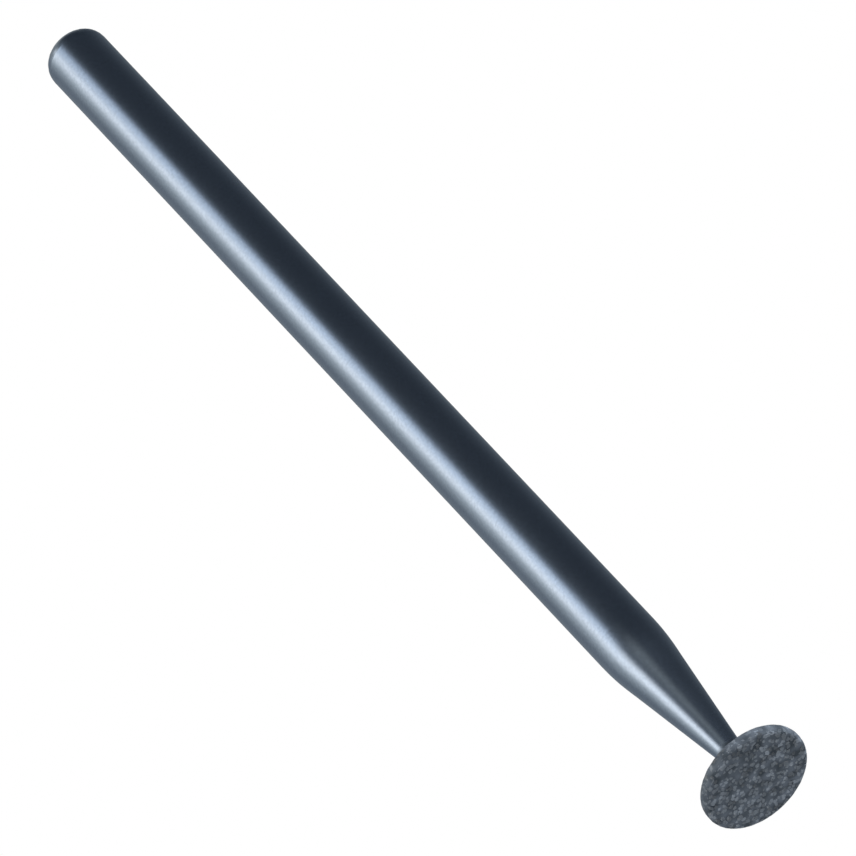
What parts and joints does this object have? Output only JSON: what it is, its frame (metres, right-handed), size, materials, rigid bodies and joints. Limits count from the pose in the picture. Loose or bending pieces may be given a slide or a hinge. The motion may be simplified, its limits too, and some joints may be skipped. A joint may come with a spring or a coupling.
{
  "type": "diamond dresser",
  "caption": "Rotary dressing point: a straight ground steel shank tapers to a thin neck and carries a flat disc covered in bonded diamond grit",
  "frame": {"origin": "Centre of the head's flat front face, on the axis of rotation", "axes": "+Z runs along the axis of rotation from the head's front face to the tail end of the shank; X and Y are free, because the part is round"},
  "size_m": [0.004, 0.004, 0.0445],
  "materials": {
    "ground_steel": "satin",
    "bonded_grit": "matte"
  },
  "bodies": {
    "root": {"steel_blank": "ground_steel", "diamond_grit": "bonded_grit"}
  },
  "joints": []
}
